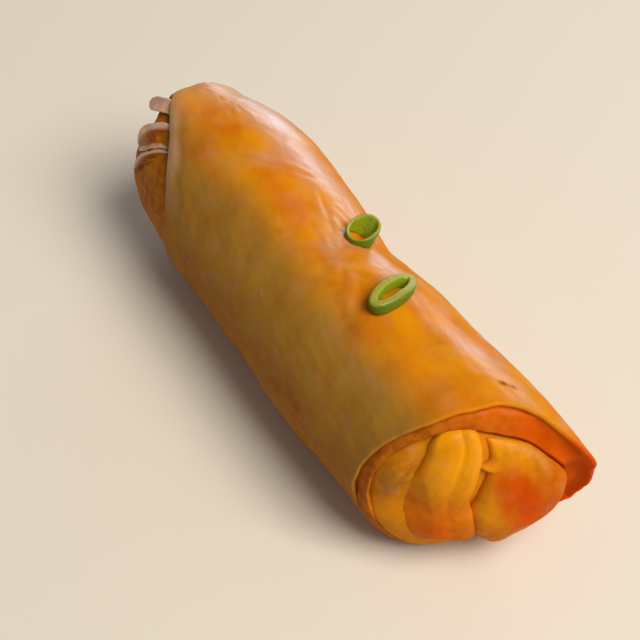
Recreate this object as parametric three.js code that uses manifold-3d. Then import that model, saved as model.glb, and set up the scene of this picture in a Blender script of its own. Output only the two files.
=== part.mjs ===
// Fried spring roll, one piece of food, with two slices of green onion lying on it.
// Millimetres, +Z up. The roll lies along X on a narrow flat strip at z = 0, its near end towards +X.
// The origin is under the middle of the whole.
//
// A spring roll is a sheet of dough wound round a log of filling. The last turn ends in two lips, one at each end.
// The turn under it comes out past the lip and bends inwards, and the corners of the sheet are tucked over the
// filling inside that. So each end has, from outside to inside: lip, groove, under-turn, its edge, and the folds.
// The skin is one grid of points: rings round the roll, from the middle of the far end to that of the near end.

import * as THREE from "three";
import { mergeVertices } from "three/addons/utils/BufferGeometryUtils.js";
import Module from "manifold-3d";

// ---- driving dimensions -------------------------------------------------------------------------------------------
// Angles are in degrees round the roll: 0 at the top, 90 on the -Y side, 180 underneath.
// A station is a place along the roll, measured on its axis from a point near its middle, positive to the near end.

const RADIUS = 22.9; // of the last turn
const RESTING_CUT = 1.3; // how much of the round is flat where the roll rests
const LAYER = 1.0; // thickness of one turn of fried dough
const MIDDLE = { station: -6.4, y: 0.15 }; // middle of the whole length and width

const NEAR_END = {
  side: 1,
  lip: [ // angle, station of the last turn's edge
    [-102, 62.5], [-80, 65], [-60, 66.5], [-48, 63], [-36, 57], [-22, 52.5], [-4, 50], [16, 47.5],
    [38, 44], [59, 41], [80, 39.3], [105, 40], [135, 43], [180, 49], [220, 56],
  ],
  reach: [ // angle, how far the under-turn's edge stands out past the lip
    [-90, -3], [-60, -4], [-40, -1], [-22, 2], [-4, 2], [16, 1.5], [40, 2], [80, 3.2], [120, 5], [150, 4], [180, 2],
    [225, 0],
  ],
  inset: [ // angle, how far that edge lies inside the last turn
    [-90, 4.5], [-60, 6.4], [-35, 7.6], [-15, 6.6], [0, 4.5], [16, 3], [40, 2.6], [80, 1.7], [120, 1.7], [180, 2.2],
    [225, 3],
  ],
  hood: [[-90, 3], [-35, 3.5], [0, 2.5], [40, 1.6], [90, 0.8], [180, 1]], // angle, depth of the gap under the lip
  middle: 52.5, // station of the middle of the end face, before it bulges
  bulge: 5.4,
  underTurnRings: 5,
  faceRings: 10,
  // Two tucked corners, each between a left and a right edge of [y, z] points from the top down. The height over the
  // face is at the top and at the bottom, and the crown is what the middle adds.
  folds: [
    {
      left: [[-6.6, 20.5], [-9.2, 15.5], [-11.8, 10.2], [-14.4, 4.5], [-16.4, -3], [-15.4, -11]],
      right: [[-0.6, 19], [-0.2, 14], [-1.4, 8], [-2.9, 0], [-2.8, -8], [-1.6, -18.4]],
      height: [1.3, 2.4],
      crown: 1.6,
    },
    {
      left: [[1.6, 16.2], [1.1, 12.5], [-0.6, 7.5], [-2, 0], [-2, -8], [-0.8, -18]],
      right: [[11.8, 11.8], [15, 7.2], [16.4, 2], [16.2, -4], [14.4, -10.5], [9.5, -16.4]],
      height: [0.8, 3.2],
      crown: 3.6,
    },
  ],
};

const FAR_END = {
  side: -1,
  lip: [
    [-60, -75.5], [-20, -75], [4, -75], [14, -75], [22, -71.5], [36, -62.6], [46, -58], [58, -54], [81, -49.5],
    [100, -49.5], [130, -54], [160, -61], [200, -67], [240, -73],
  ],
  reach: [
    [-60, 0.8], [-20, 1.2], [5, 1.6], [20, 4.5], [36, 12], [58, 20], [81, 24.5], [100, 24], [130, 19], [160, 12],
    [200, 6], [240, 2],
  ],
  inset: [[-60, 3], [-10, 2.2], [20, 2.8], [45, 3.6], [90, 4.6], [140, 4], [180, 3.2], [240, 3.6]],
  hood: [[-60, 2], [0, 2], [45, 1.2], [90, 0.8], [180, 1]],
  middle: -74,
  bulge: 3.4,
  underTurnRings: 7,
  faceRings: 8,
  folds: [
    {
      left: [[-11, 11.5], [-15, 5], [-15.5, -3], [-12, -11], [-6, -15.5]],
      right: [[0, 16.4], [0, 8], [-1, 0], [-1, -8], [0, -16]],
      height: [0.8, 1],
      crown: 0.8,
    },
    {
      left: [[3, 16], [-1.5, 9], [-4, 0], [-3.5, -8], [0, -16]],
      right: [[11.5, 12], [15.5, 6], [16.5, -1], [14.5, -9], [9, -14.8]],
      height: [1.7, 1.7],
      crown: 0.6,
    },
  ],
};

const LUMPS = [ // uneven filling: station, angle, height and how far it spreads along and round the roll
  { station: -50, angle: -55, height: 1.4, along: 13, round: 50 },
  { station: -9, angle: -55, height: -2.8, along: 13, round: 52 },
  { station: 48, angle: -55, height: 1.7, along: 18, round: 60 },
  { station: 8, angle: 105, height: 1.0, along: 17, round: 45 },
  { station: -30, angle: 20, height: 0.7, along: 9, round: 22 },
  { station: -72, angle: 60, height: -1.2, along: 12, round: 90 },
  { station: -78, angle: -55, height: -2.6, along: 10, round: 50 },
  { station: -73, angle: -62, height: -1.9, along: 12, round: 30 },
];

const SEAM = { angle: -128, slant: 0.25, fade: 80 }; // long edge of the sheet: angle, degrees per mm, and its fade

// The thin edges, in layers or millimetres.
const LIP_FORWARD = 0.3; // how far the rounded middle of a lip's edge stands out
const LIP_BACK = 0.1; // how far the lower side of that edge lies back
const GAP_DEPTH = 1.3 * LAYER; // how deep the groove under a lip goes
const UNDER_TURN_DEPTH = 1.4 * LAYER; // how deep the under-turn starts inside the last turn
const EDGE_STEPS = [[0.2, 0.7], [1.4, 1]]; // the under-turn's edge: how far back, and how many layers inwards
const FACE_BACK = 1.6; // how far the face's rim lies behind the under-turn's edge
const STEEPEST_DOME = 0.35; // the steepest a face gets at its rim, for the direction its folds stand out in

// Onion rings: station, angle, heading of the long side from the roll's axis, and sizes across, tall and thick. One
// side is taller by the share in slant, and rise is the heading of that side.
const ONION_RINGS = [
  {
    name: "scallion_ring_1", station: 13.4, angle: -7.6, heading: 110,
    long: 13.4, wide: 6.9, tall: 3.4, wall: 2.1, slant: 0, rise: 0,
  },
  {
    name: "scallion_ring_2", station: -8.6, angle: -22.4, heading: 40,
    long: 7.4, wide: 6.8, tall: 3.7, wall: 1, slant: 0.7, rise: 105,
  },
];
const RESTING_GAP = 0.3; // between the onion and the roll

const FLAKES = [ // ends of dough that come out from under the far lip: root and tip as station, angle and radius
  { root: [-70, 19, 20], tip: [-77.6, 31.5, 20.6], width: 4.6, thick: 2.4 },
  { root: [-64, 31, 19.6], tip: [-74, 57, 19.6], width: 7, thick: 3.6 },
  { root: [-61, 42, 20], tip: [-71, 73, 19.8], width: 2.6, thick: 2 },
];

const SEGMENTS = 72; // points round each ring
const BODY_RINGS = 14;
const FOLD_GRID = [8, 11]; // faces of a fold across and down
const FOLD_SINK = 0.6; // how deep a fold's rim goes into the end face
const FOLD_DEPTH = 1.8; // how deep its underside goes
const FOLD_RIM = 0.04; // share of a fold's width that its rounded rim takes
const RIM_EASE = 0.94; // a fold eases into the rim of its end face from this share of the way
const FLAKE_GRID = [7, 10]; // faces of a flake along and round
const FLAKE_POINT = 0.5; // how far its ends are drawn out
const FLAKE_TAPER = { width: 0.45, thick: 0.5 }; // shares that its tip is narrower and thinner by
const ONION_GRID = [32, 8]; // faces of an onion ring along and round its wall

// ---- helpers ------------------------------------------------------------------------------------------------------

const RAD = Math.PI / 180;
const TURN = 360;

const mix = (a, b, t) => a + (b - a) * t;
const bell = (d) => Math.exp(-d * d);
const ease = (t) => {
  const c = Math.min(1, Math.max(0, t));
  return c * c * (3 - 2 * c);
};

// Difference of two angles in degrees, from -180 to 180.
const apart = (a, b) => ((((a - b) % TURN) + TURN * 1.5) % TURN) - TURN / 2;

// A smooth closed curve through [angle, value] pairs, in rising order of angle, read at any angle.
function readRound(pairs, angle) {
  const n = pairs.length;
  const at = ((((angle - pairs[0][0]) % TURN) + TURN) % TURN) + pairs[0][0];
  let i = n - 1;
  while (pairs[i][0] > at) i -= 1;
  const value = (k) => pairs[(k + n) % n][1];
  const place = (k) => pairs[(k + n) % n][0] + TURN * Math.floor(k / n);
  const slope = (k) => (value(k + 1) - value(k - 1)) / (place(k + 1) - place(k - 1));
  const span = place(i + 1) - place(i);
  const t = (at - place(i)) / span;
  const s = 1 - t;
  return (
    s * s * (1 + 2 * t) * value(i) + t * t * (1 + 2 * s) * value(i + 1) +
    span * s * t * (s * slope(i) - t * slope(i + 1))
  );
}

// ---- skin ---------------------------------------------------------------------------------------------------------

// The last turn is a layer lower behind its long edge, and rises again round the roll.
function seamDrop(station, angle) {
  const past = apart(SEAM.angle + SEAM.slant * station, angle);
  return past > 0 ? LAYER * (1 - ease(past / SEAM.fade)) : 0;
}

function lastTurnRadius(station, angle) {
  let r = RADIUS - seamDrop(station, angle);
  for (const lump of LUMPS) {
    const away = bell((station - lump.station) / lump.along) * bell(apart(angle, lump.angle) / lump.round);
    r += lump.height * away;
  }
  return r;
}

// The point at a station, a distance from the axis and an angle. Underneath, the round is pressed flat.
function skinPoint(station, r, angle) {
  const down = -Math.cos(angle * RAD);
  const pressed = r * Math.min(1, (RADIUS - RESTING_CUT) / (RADIUS * Math.max(down, 0.01)));
  const z = Math.max(-pressed * down, RESTING_CUT - RADIUS);
  return new THREE.Vector3(station, -pressed * Math.sin(angle * RAD), z);
}

// The rings of one end, from the lip's outer edge to the last ring round the middle of its face.
function endRings(end) {
  const { side } = end;
  const lip = (angle) => readRound(end.lip, angle);
  const top = (angle) => lastTurnRadius(lip(angle), angle);
  const gap = (angle) => lip(angle) - side * readRound(end.hood, angle);
  const edge = (angle) => lip(angle) + side * readRound(end.reach, angle);
  const edgeInset = (angle) => readRound(end.inset, angle);
  const rings = [
    (angle) => skinPoint(lip(angle) + side * LIP_FORWARD, top(angle) - LAYER / 2, angle),
    (angle) => skinPoint(lip(angle) - side * LIP_BACK, top(angle) - LAYER, angle),
    (angle) => skinPoint(gap(angle), top(angle) - GAP_DEPTH, angle),
  ];
  for (let i = 1; i <= end.underTurnRings; i += 1) {
    const turn = (i / end.underTurnRings) * (Math.PI / 2);
    rings.push((angle) => {
      const station = mix(gap(angle), edge(angle), Math.sin(turn));
      const inset = mix(UNDER_TURN_DEPTH, edgeInset(angle), 1 - Math.cos(turn));
      return skinPoint(station, top(angle) - inset, angle);
    });
  }
  for (const [back, inwards] of EDGE_STEPS) {
    rings.push((angle) => {
      const r = top(angle) - edgeInset(angle) - LAYER * inwards;
      return skinPoint(edge(angle) - side * back, r, angle);
    });
  }
  for (let i = 0; i <= end.faceRings; i += 1) {
    const share = Math.cos((i / (end.faceRings + 1)) * (Math.PI / 2));
    rings.push((angle) => facePoint(end, angle, share, 0));
  }
  return rings;
}

// The rim of an end face: its station and its distance from the axis at an angle.
function faceRim(end, angle) {
  const lip = readRound(end.lip, angle);
  const station = lip + end.side * (readRound(end.reach, angle) - FACE_BACK);
  const r = lastTurnRadius(lip, angle) - readRound(end.inset, angle) - UNDER_TURN_DEPTH;
  return { station, r };
}

// A point of an end face: at an angle, a share of the way from the middle to the rim, and a height over the face.
function facePoint(end, angle, share, height) {
  const rim = faceRim(end, angle);
  const dome = Math.sqrt(Math.max(0, 1 - share * share));
  const forward = Math.max(dome, STEEPEST_DOME) / end.bulge;
  const outward = share / rim.r;
  const lean = height / Math.hypot(forward, outward);
  const station = mix(end.middle, rim.station, share) + end.side * (end.bulge * dome + forward * lean);
  return skinPoint(station, share * rim.r + outward * lean, angle);
}

function skinGeometry() {
  const body = [];
  for (let i = 0; i <= BODY_RINGS; i += 1) {
    body.push((angle) => {
      const station = mix(readRound(FAR_END.lip, angle), readRound(NEAR_END.lip, angle), i / BODY_RINGS);
      return skinPoint(station, lastTurnRadius(station, angle), angle);
    });
  }
  const rings = [...endRings(FAR_END).reverse(), ...body, ...endRings(NEAR_END)];
  const points = [facePoint(FAR_END, 0, 0, 0)];
  for (const ring of rings) {
    for (let s = 0; s < SEGMENTS; s += 1) points.push(ring((s * TURN) / SEGMENTS));
  }
  points.push(facePoint(NEAR_END, 0, 0, 0));

  const index = [];
  const at = (ring, s) => 1 + ring * SEGMENTS + (s % SEGMENTS);
  const lastRing = rings.length - 1;
  for (let s = 0; s < SEGMENTS; s += 1) {
    index.push(0, at(0, s + 1), at(0, s));
    index.push(points.length - 1, at(lastRing, s), at(lastRing, s + 1));
    for (let k = 0; k < lastRing; k += 1) {
      index.push(at(k, s), at(k + 1, s + 1), at(k + 1, s));
      index.push(at(k, s), at(k, s + 1), at(k + 1, s + 1));
    }
  }
  return new THREE.BufferGeometry().setFromPoints(points).setIndex(index);
}

// ---- folds of an end ----------------------------------------------------------------------------------------------

// A tucked corner: a pad on the end face with rounded edges, sunk into the face at its rim and underneath.
function foldGeometry(end, { left, right, height, crown }) {
  const leftEdge = new THREE.SplineCurve(left.map(([y, z]) => new THREE.Vector2(y, z)));
  const rightEdge = new THREE.SplineCurve(right.map(([y, z]) => new THREE.Vector2(y, z)));
  const [across, down] = FOLD_GRID;
  const steps = (n) => [0, ...Array.from({ length: n - 1 }, (_, i) => mix(FOLD_RIM, 1 - FOLD_RIM, i / (n - 2))), 1];
  const rows = steps(down);
  const columns = steps(across);
  const pointAt = (u, v, over) => {
    const p = leftEdge.getPoint(v).lerp(rightEdge.getPoint(v), u);
    const angle = Math.atan2(-p.x, p.y) / RAD;
    const share = p.length() / faceRim(end, angle).r;
    const past = Math.max(0, share - RIM_EASE) / (1 - RIM_EASE);
    return facePoint(end, angle, Math.min(share, RIM_EASE) + (1 - RIM_EASE) * (1 - Math.exp(-past)), over);
  };
  const points = [];
  for (const v of rows) {
    for (const u of columns) {
      const border = u === 0 || u === 1 || v === 0 || v === 1;
      const middle = Math.sin(Math.PI * u) * Math.sin(Math.PI * v);
      points.push(pointAt(u, v, border ? -FOLD_SINK : mix(height[0], height[1], v) + crown * middle));
    }
  }
  for (const v of rows) for (const u of columns) points.push(pointAt(u, v, -FOLD_DEPTH));

  const width = columns.length;
  const below = points.length / 2;
  const index = [];
  const quad = (a, b, c, d) => index.push(a, b, c, a, c, d);
  for (let i = 0; i + 1 < rows.length; i += 1) {
    for (let j = 0; j + 1 < width; j += 1) {
      const a = i * width + j;
      quad(a, a + width, a + width + 1, a + 1);
      quad(below + a, below + a + 1, below + a + width + 1, below + a + width);
    }
    const [first, last] = [i * width, i * width + width - 1];
    quad(first, first + below, first + below + width, first + width);
    quad(last, last + width, last + below + width, last + below);
  }
  for (let j = 0; j + 1 < width; j += 1) {
    const bottom = (rows.length - 1) * width + j;
    quad(j, j + 1, j + below + 1, j + below);
    quad(bottom, bottom + below, bottom + below + 1, bottom + 1);
  }
  if (end.side < 0) index.reverse();
  return new THREE.BufferGeometry().setFromPoints(points).setIndex(index);
}

// A tongue of dough, thick in the middle and narrowing to its tip, bent round the roll's axis.
function flakeGeometry({ root, tip, width, thick }) {
  const [along, round] = FLAKE_GRID;
  const points = [];
  const index = [];
  const at = (i, j) => 1 + i * round + (j % round);
  for (let i = 0; i <= along; i += 1) {
    const t = i / along;
    const half = (width / 2) * (1 - FLAKE_TAPER.width * t);
    for (let j = 0; j < round; j += 1) {
      const turn = (j / round) * 2 * Math.PI;
      const r = mix(root[2], tip[2], t * t) + (thick / 2) * (1 - FLAKE_TAPER.thick * t) * Math.sin(turn);
      const angle = mix(root[1], tip[1], t) + (half * Math.cos(turn)) / (r * RAD);
      points.push(skinPoint(mix(root[0], tip[0], t), r, angle));
    }
  }
  points.unshift(skinPoint(root[0] + FLAKE_POINT, root[2], root[1]));
  points.push(skinPoint(tip[0] - FLAKE_POINT, tip[2], tip[1]));
  for (let j = 0; j < round; j += 1) {
    index.push(0, at(0, j + 1), at(0, j));
    index.push(points.length - 1, at(along, j), at(along, j + 1));
    for (let i = 0; i < along; i += 1) {
      index.push(at(i, j), at(i + 1, j + 1), at(i + 1, j));
      index.push(at(i, j), at(i, j + 1), at(i + 1, j + 1));
    }
  }
  return new THREE.BufferGeometry().setFromPoints(points).setIndex(index);
}

// ---- joining ------------------------------------------------------------------------------------------------------

const wasm = await Module();
wasm.setup();

function toSolid(geometry) {
  const merged = mergeVertices(geometry, 1e-4);
  return new wasm.Manifold(
    new wasm.Mesh({
      numProp: 3,
      vertProperties: new Float32Array(merged.attributes.position.array),
      triVerts: new Uint32Array(merged.index.array),
    }),
  );
}

function toGeometry(solid) {
  const mesh = solid.getMesh();
  const geometry = new THREE.BufferGeometry();
  geometry.setAttribute("position", new THREE.BufferAttribute(mesh.vertProperties, 3));
  geometry.setIndex(new THREE.BufferAttribute(mesh.triVerts, 1));
  geometry.translate(-MIDDLE.station, -MIDDLE.y, RADIUS - RESTING_CUT);
  geometry.computeVertexNormals();
  return geometry;
}

// ---- sub-parts ----------------------------------------------------------------------------------------------------

function springRoll() {
  let solid = toSolid(skinGeometry());
  for (const end of [NEAR_END, FAR_END]) {
    for (const fold of end.folds) solid = solid.add(toSolid(foldGeometry(end, fold)));
  }
  for (const flake of FLAKES) solid = solid.add(toSolid(flakeGeometry(flake)));
  const dough = new THREE.MeshStandardMaterial({ color: 0xc97a1e, roughness: 0.35, metalness: 0 });
  const mesh = new THREE.Mesh(toGeometry(solid), dough);
  mesh.name = "spring_roll";
  return mesh;
}

// A slice of hollow green leaf: an oval ring that lies on the roll and follows its round.
function onionRing({ name, station, angle, heading, long, wide, tall, wall, slant, rise }) {
  const [around, section] = ONION_GRID;
  const points = [];
  const index = [];
  const at = (i, j) => (i % around) * section + (j % section);
  for (let i = 0; i < around; i += 1) {
    const turn = (i / around) * 2 * Math.PI;
    for (let j = 0; j < section; j += 1) {
      const slope = (j / section) * 2 * Math.PI;
      const out = (wall / 2) * (Math.cos(slope) - 1);
      const a = (long / 2 + out) * Math.cos(turn);
      const b = (wide / 2 + out) * Math.sin(turn);
      const alongRoll = a * Math.cos(heading * RAD) - b * Math.sin(heading * RAD);
      const acrossRoll = a * Math.sin(heading * RAD) + b * Math.cos(heading * RAD);
      const pointAngle = angle - acrossRoll / (RADIUS * RAD);
      const side = 1 + slant * Math.cos(Math.atan2(acrossRoll, alongRoll) - rise * RAD);
      const height = RESTING_GAP + side * (tall / 2) * (1 + Math.sin(slope));
      const r = lastTurnRadius(station + alongRoll, pointAngle) + height;
      points.push(skinPoint(station + alongRoll, r, pointAngle));
      index.push(at(i, j), at(i + 1, j), at(i + 1, j + 1));
      index.push(at(i, j), at(i + 1, j + 1), at(i, j + 1));
    }
  }
  const geometry = new THREE.BufferGeometry().setFromPoints(points).setIndex(index);
  const leaf = new THREE.MeshStandardMaterial({ color: 0x6f9a2a, roughness: 0.45, metalness: 0 });
  const mesh = new THREE.Mesh(toGeometry(toSolid(geometry)), leaf);
  mesh.name = name;
  return mesh;
}

const group = new THREE.Group();
group.add(springRoll());
for (const ring of ONION_RINGS) group.add(onionRing(ring));

export default group;
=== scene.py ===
import math

import bmesh
import bpy
import numpy as np
from bpy.props import FloatProperty, FloatVectorProperty, IntProperty, PointerProperty
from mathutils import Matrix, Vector


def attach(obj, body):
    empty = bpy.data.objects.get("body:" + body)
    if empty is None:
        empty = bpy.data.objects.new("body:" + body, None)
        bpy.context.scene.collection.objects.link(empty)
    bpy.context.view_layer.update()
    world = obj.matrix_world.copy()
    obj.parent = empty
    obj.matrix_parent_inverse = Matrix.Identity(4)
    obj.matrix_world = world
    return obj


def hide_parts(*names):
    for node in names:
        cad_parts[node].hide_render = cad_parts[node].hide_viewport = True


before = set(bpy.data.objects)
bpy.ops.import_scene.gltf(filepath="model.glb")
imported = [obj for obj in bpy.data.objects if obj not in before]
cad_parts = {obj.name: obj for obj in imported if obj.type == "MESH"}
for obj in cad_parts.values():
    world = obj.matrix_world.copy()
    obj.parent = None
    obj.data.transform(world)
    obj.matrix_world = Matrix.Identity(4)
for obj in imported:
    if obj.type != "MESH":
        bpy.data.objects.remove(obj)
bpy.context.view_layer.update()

bl_info = {
    "name": "Fried Spring Roll",
    "version": (1, 0, 0),
    "blender": (4, 5, 0),
    "location": "3D View > Sidebar > Spring Roll",
    "description": "Builds the wrapper, tucked corners, loose dough and green onion of a fried spring roll",
    "category": "Mesh",
}

# A spring roll is a sheet of dough wound round a log of filling and fried. The last turn ends in a lip at
# each end. The turn under it comes out past the lip and bends inwards, and the corners of the sheet are
# tucked over the filling.
#
# Forms are worked out in millimetres on the roll's own axis and moved to the part's frame at the end. A
# station is a place along that axis, positive to the near end. Angles are in degrees round it: 0 at the top,
# 90 on the -Y side, 180 underneath. A spread is the distance over which a soft form fades from its middle. A
# tone is a share from 0 to 1 by which one colour covers another.

MM = 0.001
TURN = 360.0
DEGREE = math.radians(1)
TINY = 1e-4  # less than any distance or share that counts

# ---- the roll's two ends ---------------------------------------------------------------------------

MIDDLE = (-6.4, 0.15)  # station and y of the part's origin
NEAR_END = {
    "side": 1,
    "lip": [  # angle, station of the last turn's edge
        (-102, 62.5), (-80, 65), (-60, 66.5), (-48, 63), (-36, 57), (-22, 52.5), (-4, 50), (16, 47.5),
        (38, 44), (59, 41), (80, 39.3), (105, 40), (135, 43), (180, 49), (220, 56),
    ],
    "gap": [  # angle, depth of the gap between the last turn and the turn under it
        (-90, 2.4), (-60, 1.6), (-35, 0.9), (0, 0.5), (40, 0.5), (90, 0.8), (180, 1),
    ],
    "reach": [  # angle, how far the under-turn's edge stands out past the lip
        (-90, -3), (-60, -4), (-40, -1), (-22, 2), (-4, 2), (16, 1.5), (40, 2), (80, 3.2), (120, 5),
        (150, 4), (180, 2), (225, 0),
    ],
    "inset": [  # angle, how far that edge lies inside the last turn
        (-90, 4.5), (-60, 5), (-35, 6.3), (-15, 6.5), (0, 4.5), (16, 3), (40, 2.6), (80, 1.7),
        (120, 1.7), (180, 2.2), (225, 3),
    ],
    "middle": 52.5,  # station of the end face's middle before it bulges
    "bulge": 5.4,
    "rings": (14, 18),  # rings of the under-turn and of the end face
}
FAR_END = {
    "side": -1,
    "lip": [
        (-60, -75.5), (-20, -75), (4, -75), (14, -75), (22, -71.5), (36, -62.6), (46, -58), (58, -54),
        (81, -49.5), (100, -49.5), (130, -54), (160, -61), (200, -67), (240, -73),
    ],
    "gap": [(-60, 2), (0, 2), (45, 1.2), (90, 0.8), (180, 1)],
    "reach": [
        (-60, 0.8), (-20, 1.2), (5, 1.6), (20, 4.5), (36, 12), (58, 20), (81, 24.5), (100, 24),
        (130, 19), (160, 12), (200, 6), (240, 2),
    ],
    "inset": [
        (-60, 3), (-10, 2.2), (20, 2.8), (45, 3.6), (90, 4.6), (140, 4), (180, 3.2), (240, 3.6),
    ],
    "middle": -74,
    "bulge": 3.4,
    "rings": (18, 15),
}
# Sections of a lip, of the gap behind it and of the under-turn's edge. Depths are in layers of dough.
LIP_STEPS = [(0.12, 0.12), (0.3, 0.5), (0.14, 0.88), (-0.1, 1.0)]  # how far forward, depth
GAP_STEPS = [(0.5, 1.15), (1.0, 1.3)]  # share of the way back into the gap, depth
EDGE_STEPS = [(-0.05, 0.12), (0.05, 0.4), (0.25, 0.75), (0.8, 0.95), (1.4, 1.0)]  # how far back, depth
UNDER_TURN_DEPTH = 1.4
FACE_BACK = 1.6  # how far the rim of an end face lies behind the under-turn's edge
STEEPEST_DOME = 0.35
# The near lip is pressed into the dough under it: a share, and the angles where that sets in and ends, each
# with the width over which it does.
PRESSED = 0.92
PRESSED_FROM = (90, 20)
PRESSED_TO = (178, -26)
HOOD = (-38, -16)  # the near lip overhangs from this angle on, and reaches its full tone over this width
CALM_MIDDLE, CALM_HALF = -75, 30  # angles under the hood where the relief is calm
LIP_WAVER = [(0.7, 6, 31), (0.3, 2, 32)]  # share, size, seed
WAVER_RING = (20, 7)  # the ring of noise that a lip wavers by: its radius, and its place to either side

# ---- the wrapper -----------------------------------------------------------------------------------

SEGMENTS = 288  # points round the wrapper
ANGLES = np.arange(SEGMENTS) * TURN / SEGMENTS
BODY_RINGS = 152
FIRST_CUTS = 11
CLOSER_AT_ENDS = 0.35  # how much closer the rings stand towards both lips
FREE_OF_FLOOR = (12, 14)  # angle from below where relief sets in, and the width over which it does
SEAM = (-128, 0.25, 80)  # the sheet's long edge: angle, degrees per millimetre of station, how it fades
# Uneven filling as soft patches: station, angle, spread along, spread round, height.
LUMPS = [
    (-50, -55, 13, 50, 1.4), (-9, -55, 13, 52, -2.8), (48, -55, 18, 60, 1.7), (8, 105, 17, 45, 1.0),
    (-30, 20, 9, 22, 0.7), (-72, 60, 12, 90, -1.2), (-78, -55, 10, 50, -2.6), (-73, -62, 12, 30, -1.9),
]
# Creases: places as (station, angle), height and spread. A furrow has a height below zero.
CREASES = [
    ([(-21, -24), (-15.5, -15), (-10.5, -5), (-8, 2)], 0.35, 1.9),
    ([(-27, -20), (-22, -14), (-17.5, -9), (-12.5, -3), (-9, 2)], 0.42, 0.9),
    ([(-23, -19), (-17.5, -13), (-12, -6.5), (-8, 0)], -0.42, 0.8),
    ([(-16.5, -18), (-12, -11), (-7.5, -4)], 0.42, 0.9),
    ([(-6.5, 4), (-5.5, -4), (-5, -13), (-4, -22)], 0.34, 0.9),
    ([(-4.5, 7), (-2.8, -2), (-2.2, -12), (-1, -20)], -0.36, 0.8),
    ([(-3, 9), (-0.5, 0), (1, -9), (3, -16)], 0.34, 0.9),
    ([(0, 2), (3, 10), (7, 18), (11, 21)], -0.34, 1.0),
    ([(1, -2), (5, -2), (8.5, 4), (12, 14)], -0.26, 0.9),
    ([(3, 4), (6.5, 9), (10, 15)], 0.3, 1.6),
    ([(-4, -27), (0, -23), (4, -24)], 0.3, 2.0),
    ([(-12, 38), (-7, 30.5), (-2, 22), (2, 15)], -0.3, 0.8),
    ([(-11, 34), (-5.5, 26), (-0.5, 17)], 0.2, 0.9),
    ([(-47, 6), (-41, -5), (-36.5, -14), (-33, -23)], 0.34, 1.1),
    ([(-45, 11), (-39, 0), (-34.5, -9), (-30, -19)], 0.28, 1.0),
    ([(-46, 8.5), (-40, -2.5), (-35.5, -11.5), (-31.5, -21)], -0.2, 0.7),
    ([(-26, 38), (-20.5, 27), (-18.5, 17), (-17.5, 7)], -0.3, 1.3),
    ([(-24, 40), (-18.5, 28), (-16.5, 18)], 0.22, 1.1),
    ([(20, -30), (28, -25), (37, -22), (46, -25)], 0.22, 1.6),
    ([(24, -19), (33, -14), (41, -15)], 0.15, 1.3),
    ([(9, 28), (16, 24), (21, 25)], 0.22, 1.6),
    ([(44, -19), (50, -25), (55, -31)], -0.2, 1.0),
    ([(-60, -4), (-52, -9), (-46, -17)], 0.2, 1.4),
    ([(-62, 34), (-55, 47), (-48, 58)], 0.12, 1.6),
    ([(-55, 38), (-47, 50), (-40, 62)], 0.12, 1.6),
]
CREASE_DEPTH = 0.7  # share of a crease's height that shows in the form
CREASE_TONE = 0.4  # height of a crease that takes its full colour: a painted highlight on ridges and painted shade in furrows
# Noise is given as height, size and seed: in millimetres, or for angles in degrees, or in shares of a height
# for lumps, grain and the strength of creases.
CREASE_WANDER_ALONG = [(1.3, 6, 8)]
CREASE_WANDER_ROUND = [(3.6, 5, 16)]
CREASE_STRENGTH = [(0.5, 4, 17)]
CRUMPLES = [(-8, -4, 15, 24, 1.0)]  # the waist, as a soft patch
CRUMPLE_NOISE = [(0.2, 3.4, 18), (0.09, 1.7, 19)]
LUMP_NOISE = [(0.45, 6.5, 2), (0.14, 2.6, 3)]
LUMP_STRETCH = (0.75, 1, 1)  # the broadest lumps are longer along the roll
GRAIN = [(0.35, 2.6, 9), (0.3, 1.3, 10)]
GRAIN_STRENGTH = [(0.4, 11, 13)]
GRAIN_LONG, GRAIN_TURN, GRAIN_SLANT = 0.16, 0.05, 0.22  # how the lines stretch along the roll and slant
END_RELIEF = [(0.3, 5, 11), (0.12, 1.8, 12)]
UNDER_TURN_RIDGES = 0.12
PINCH_PEAK, PINCH_SPREAD = 0.45, 0.42  # where wrinkles are strongest and how they fade, in shares of reach
# Pinched places: station, angle, reach of the wrinkles, how many run out from it, seed and share of height.
PINCHES = [(-9, -38, 17, 24, 4, 1.0), (-66, -18, 12, 20, 5, 0.6), (58, -50, 12, 18, 6, 0.6)]
# Waves behind a lip as soft patches. The first number is the distance from the lip.
FAR_LIP_WAVES = [(2.6, 28, 1.7, 42, 0.16), (5.8, 28, 1.8, 42, -0.05), (9, 28, 2.2, 42, 0.1)]
NEAR_LIP_WAVES = [(0, 10, 2.2, 60, 0.3)]
BLISTER_STATIONS = (-80, 64)
BLISTER_SIZES = (0.6, 2.0)
BLISTER_HEIGHTS = (0.1, 1.0)  # share of the largest one's height, before it is squared
# Thin dough that swells beside the near tucked corner: angle and distance from the middle, each with its
# spread, and its height.
POUCH_ANGLE = (60, 24)
POUCH_OUT = (16.9, 2.5)
POUCH_HEIGHT = 3.0
POUCH_BORDER = (-9.6, 15.5, 0.4)  # where the fold covers it: y and z of the line's top, and its slope
POUCH_SETS_IN = -2.4  # distance past that line, in y

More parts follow.
